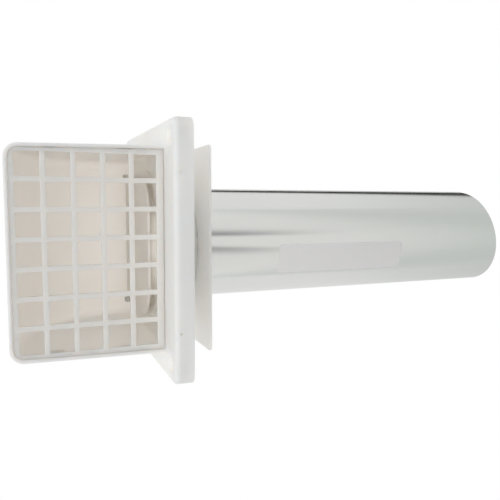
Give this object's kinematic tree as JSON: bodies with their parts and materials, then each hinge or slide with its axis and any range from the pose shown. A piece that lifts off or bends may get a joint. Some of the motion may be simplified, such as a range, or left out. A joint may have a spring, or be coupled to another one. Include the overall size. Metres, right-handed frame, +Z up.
{
  "type": "wall vent tail pipe",
  "caption": "Vent for an outside wall: square flange, quarter-round hood open below, bird guard, back-draught flap, trim plate and round tail pipe.",
  "frame": {"origin": "centre of the duct on the back plane of the flange, where it meets the wall", "axes": "+Z up, +Y into the wall along the pipe, -Y outdoors, +X to the right for someone who looks at the hood from outdoors"},
  "size_m": [0.157, 0.3805, 0.157],
  "materials": {
    "hood_plastic": "moulded white polypropylene, soft gloss, slightly translucent",
    "guard_plastic": "moulded white polypropylene, fine matt",
    "flap_plastic": "thin moulded white polypropylene, slightly translucent",
    "pipe_metal": "bright rolled sheet with fine lengthwise lines",
    "trim_plastic": "white sheet, slightly warm, fine matt"
  },
  "bodies": {
    "vent": {"hood_body": "hood_plastic", "bird_guard": "guard_plastic", "tail_pipe": "pipe_metal"},
    "flap": {"damper_flap": "flap_plastic"},
    "trim": {"trim_plate": "trim_plastic"}
  },
  "joints": [
    {"name": "flap_hinge", "type": "hinge", "parent": "vent", "child": "flap", "pos_m": [0, -0.01487, 0.053], "axis": [-1, 0, 0], "range_deg": [0, 48]},
    {"name": "trim_slide", "type": "slide", "parent": "vent", "child": "trim", "axis": [0, 1, 0], "range_m": [-0.0137, 0.25]}
  ]
}
